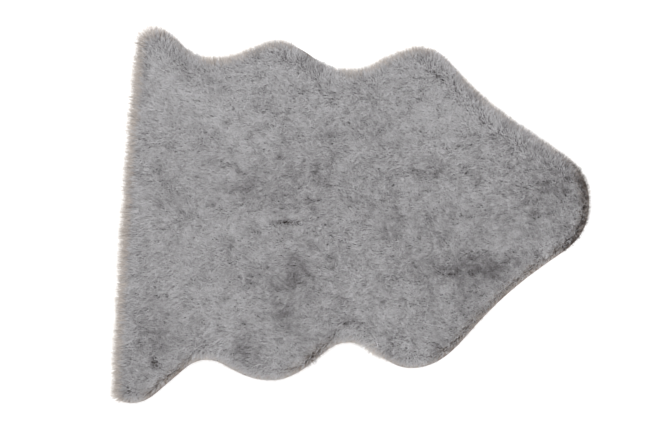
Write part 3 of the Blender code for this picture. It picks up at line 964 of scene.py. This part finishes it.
suedeLow, suedeHigh = (corner.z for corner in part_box("suede_backing"))
rim, slope, pinched = suede["rimInset"], suede["rimSlope"], suedeLow + suede["pinch"]
suedeRows = shareRows(suede["innerRings"], rim + 1 * mm, suedeLow)
suedeRows += [(1, rim + slope, suedeLow + 0.2 * suede["pinch"]), (1, rim, suedeLow + 0.6 * suede["pinch"])]
suedeRows += [(1, rim - slope, pinched), (1, 0.25 * mm, pinched), (1, 0, pinched + slope)]
suedeRows += [(1, 0, suedeHigh - slope), (1, slope, suedeHigh)]
suedeRows += shareRows(suede["topRings"], slope, suedeHigh)
suedePanel = laidSolid("suede_panel", suedeRows, microsuede(), relief=pocketRelief)
print("suede backing and label laid")


# The overlocked edge

overlock = {
    "pitch": 2.4 * mm,       # one stitch
    "loopPoints": 10,
    "loopLean": 0.28,        # how far a loop leans along the edge, in stitches
    "loopOutset": 0.55 * mm,  # how far outside the cut edge the loops pass
    "upperInset": 5.2 * mm,
    "lowerInset": 5.0 * mm,
    "threadRadius": 0.27 * mm,
    "needleInset": 5.7 * mm,
    "needleRadius": 0.3528 * mm,
    "needlePoints": 6,
    "needleBow": 0.04 * mm,
}


def spunThread():
    # spun polyester: two plies twisted together, matte, with painted shade in the groove between them
    made, tree = newMaterial("spun polyester thread")
    place = addNode(tree, "ShaderNodeUVMap", uv_map="OFBake")
    split = addNode(tree, "ShaderNodeSeparateXYZ", {"Vector": place.outputs["UV"]})
    twist = addNode(tree, "ShaderNodeMath", {0: split.outputs["X"], 1: 3.0, 2: split.outputs["Y"]},
                    operation="MULTIPLY_ADD")
    wave = addNode(tree, "ShaderNodeMath", {0: twist.outputs["Value"], 1: 4 * math.pi}, operation="MULTIPLY")
    plyShade = addNode(tree, "ShaderNodeMath", {0: wave.outputs["Value"]}, operation="SINE")
    lifted = addNode(tree, "ShaderNodeMath", {0: plyShade.outputs["Value"], 1: 0.5, 2: 0.5},
                     operation="MULTIPLY_ADD")
    # darkest in the groove between the plies: painted shade
    ramp = addNode(tree, "ShaderNodeValToRGB", {"Fac": lifted.outputs["Value"]},
                   stops=[(0.0, "#3f342f"), (0.4, "#6a5a51"), (1.0, "#8a786c")])
    shader = addNode(tree, "ShaderNodeBsdfPrincipled", {
        "Base Color": ramp.outputs["Color"], "Roughness": 0.8, "Specular IOR Level": 0.25,
        "Sheen Weight": 0.2, "Sheen Roughness": 0.5})
    return finished(made, shader)


threadMaterial = spunThread()


def edgeAt(runs, outset):
    # places along the cut edge at those lengths round it, moved out by outset, and the edge's
    # direction there
    around = np.arange(cloth["samples"] + 1) * edgeLength / cloth["samples"]
    wrapped = np.mod(runs, edgeLength)
    looped = [np.concatenate([each, each[:1]]) for each in (edgePoints, edgeNormals, edgeTangents)]
    points, normals, tangents = [
        np.stack([np.interp(wrapped, around, each[:, axis]) for axis in (0, 1)], axis=1) for each in looped]
    return points + normals * outset[:, None], tangents


def threadRing(name, path, reference, radius, perStitch, sides=4):
    # a round tube along a closed path, which reference keeps from twisting
    along = np.roll(path, -1, axis=0) - np.roll(path, 1, axis=0)
    along /= np.linalg.norm(along, axis=1)[:, None]
    across = np.cross(along, reference)
    across /= np.linalg.norm(across, axis=1)[:, None]
    upright = np.cross(across, along)
    turn = (2 * math.pi * np.arange(sides) / sides)[None, :, None]
    ring = across[:, None, :] * np.cos(turn) + upright[:, None, :] * np.sin(turn)
    points = path[:, None, :] + ring * radius
    count = len(path)
    here = np.arange(count)[:, None]
    after = (here + 1) % count
    side = np.arange(sides)[None, :]
    nextSide = (side + 1) % sides
    here, after = here * sides, after * sides
    quads = np.stack([here + side, here + nextSide, after + nextSide, after + side], axis=2)
    u0, v0 = np.broadcast_arrays(np.arange(count)[:, None] % perStitch / perStitch, side / sides)
    u1, v1 = u0 + 1 / perStitch, v0 + 1 / sides
    uv = np.stack([np.stack([u0, v0], axis=2), np.stack([u0, v1], axis=2),
                   np.stack([u1, v1], axis=2), np.stack([u1, v0], axis=2)], axis=2)
    return newPiece(name, points.reshape(-1, 3), [quads.reshape(-1, 4)], threadMaterial, uv.reshape(-1, 2))


stitches = round(edgeLength / overlock["pitch"])


def looperThread(name, section, shift):
    # the thread swings from the needle line, over the cut edge, to the middle of the rim and back,
    # once a stitch
    count = stitches * overlock["loopPoints"]
    phase = np.arange(count) / overlock["loopPoints"] + shift
    swing = 0.5 - 0.5 * np.cos(2 * math.pi * phase)
    section = np.array(section)
    run = np.concatenate([[0], np.cumsum(np.linalg.norm(np.diff(section, axis=0), axis=1))])
    outset = np.interp(swing * run[-1], run, section[:, 0])
    height = np.interp(swing * run[-1], run, section[:, 1])
    loopLean = overlock["loopLean"] * overlock["pitch"] * np.sin(4 * math.pi * phase)
    places, tangents = edgeAt(phase * edgeLength / stitches + loopLean, outset)
    path = np.concatenate([places, height[:, None]], axis=1)
    reference = np.concatenate([tangents, np.zeros((count, 1))], axis=1)
    return threadRing(name, path, reference, overlock["threadRadius"], overlock["loopPoints"])


def overTheEdge(inset, flat, towards, end):
    # in section: along the face from that inset to the cut edge, round it, and on to that height
    outset = overlock["loopOutset"]
    return [(-inset, flat), (-0.1 * mm, flat), (outset - 0.1 * mm, flat + 0.2 * mm * towards),
            (outset, flat + 0.6 * mm * towards), (outset, end)]


upperLow, upperHigh = (corner.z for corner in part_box("upper_looper_thread"))
lowerLow, lowerHigh = (corner.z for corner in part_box("lower_looper_thread"))
radius = overlock["threadRadius"]
upperSection = overTheEdge(overlock["upperInset"], upperHigh - radius, -1, upperLow + radius)
lowerSection = overTheEdge(overlock["lowerInset"], lowerLow + radius, 1, lowerHigh - radius)
upperLooper = looperThread("upper_looper", upperSection, 0.0)
lowerLooper = looperThread("lower_looper", lowerSection, 0.5)


def needleLine():
    # a row of stitches just inside the loops: the thread bows up over each and dips between them
    perStitch = overlock["needlePoints"]
    count = stitches * perStitch
    phase = np.arange(count) / perStitch
    places, tangents = edgeAt(phase * edgeLength / stitches, np.full(count, -overlock["needleInset"]))
    low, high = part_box("needle_thread")
    height = (low.z + high.z) / 2 - overlock["needleBow"] * np.cos(2 * math.pi * phase)
    path = np.concatenate([places, height[:, None]], axis=1)
    reference = np.tile([0.0, 0.0, 1.0], (count, 1))
    return threadRing("needle_stitching", path, reference, overlock["needleRadius"], perStitch)


needleStitching = needleLine()
print(f"overlock sewn: {stitches} stitches")


# What stands for what

for piece in [*pileShown, edgePile]:
    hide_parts("guard_hair")
for piece in [undercoatPile, undercoatBody]:
    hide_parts("undercoat")
for piece, node, slot in [
        (knitCloth, "knit_ground", "knit"), (latexFilm, "latex_coating", "latex"),
        (suedePanel, "suede_backing", "suede"), (upperLooper, "upper_looper_thread", "thread"),
        (lowerLooper, "lower_looper_thread", "thread"), (needleStitching, "needle_thread", "thread"),
        (label, "care_label", "label")]:
    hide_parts(node)
for piece in [*pileShown, edgePile, undercoatPile, undercoatBody, knitCloth, latexFilm, suedePanel,
              upperLooper, lowerLooper, needleStitching, label]:
    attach(piece, "root")


# Floor, light and camera

studio = {
    "floorSize": 14.0,
    "floorDrop": 0.2 * mm,   # the floor lies this far under the suede
    "floorColour": "#f7f7f7",
    "floorGlow": 0.3,        # a lit sweep, so that the rug casts hardly any shade
    "worldStrength": 0.85,
    "keyPlace": (-1.7, 1.9, 2.6),
    "keySize": 1.6,
    "keyPower": 60,
    "fillPlace": (1.9, -1.6, 2.8),
    "fillSize": 2.4,
    "fillPower": 42,
    "cameraOffset": (-50.7 * mm, 1.9 * mm),  # the rug lies a little right of the middle of the view
    "viewWidth": 1.2204,
    "lens": 85,
}


def paleFloor():
    # plain painted board, pale and matte
    made, tree = newMaterial("pale matte floor")
    shader = addNode(tree, "ShaderNodeBsdfPrincipled", {
        "Base Color": linearColour(studio["floorColour"]), "Roughness": 0.9, "Specular IOR Level": 0.1,
        "Emission Color": (1.0, 1.0, 1.0, 1.0), "Emission Strength": studio["floorGlow"]})
    half, drop = studio["floorSize"] / 2, -studio["floorDrop"]
    corners = np.array([[-half, -half, drop], [half, -half, drop], [half, half, drop], [-half, half, drop]])
    return newPiece("floor", corners, [np.array([[0, 1, 2, 3]])], finished(made, shader))


paleFloor()


def softBox(name, place, size, power):
    # a square light that faces the rug, out of the camera's sight
    made = bpy.data.lights.new(name, "AREA")
    made.size = size
    made.energy = power
    lamp = bpy.data.objects.new(name, made)
    lamp.location = place
    distance = math.hypot(place[0], place[1])
    lamp.rotation_euler = (math.atan2(distance, place[2]), 0.0, math.atan2(place[1], place[0]) + math.pi / 2)
    lamp.visible_camera = False
    bpy.context.scene.collection.objects.link(lamp)


softBox("key", studio["keyPlace"], studio["keySize"], studio["keyPower"])
softBox("fill", studio["fillPlace"], studio["fillSize"], studio["fillPower"])
world = bpy.data.worlds.new("studio")
world.use_nodes = True
world.node_tree.nodes["Background"].inputs["Color"].default_value = (1.0, 1.0, 1.0, 1.0)
world.node_tree.nodes["Background"].inputs["Strength"].default_value = studio["worldStrength"]
bpy.context.scene.world = world

cameraData = bpy.data.cameras.new("camera")
cameraData.lens = studio["lens"]
camera = bpy.data.objects.new("camera", cameraData)
distance = studio["viewWidth"] * studio["lens"] / cameraData.sensor_width
camera.location = (studio["cameraOffset"][0], studio["cameraOffset"][1], pileTop + distance)
bpy.context.scene.collection.objects.link(camera)
bpy.context.scene.camera = camera
bpy.context.scene.view_settings.view_transform = "Standard"

print("scene ready")
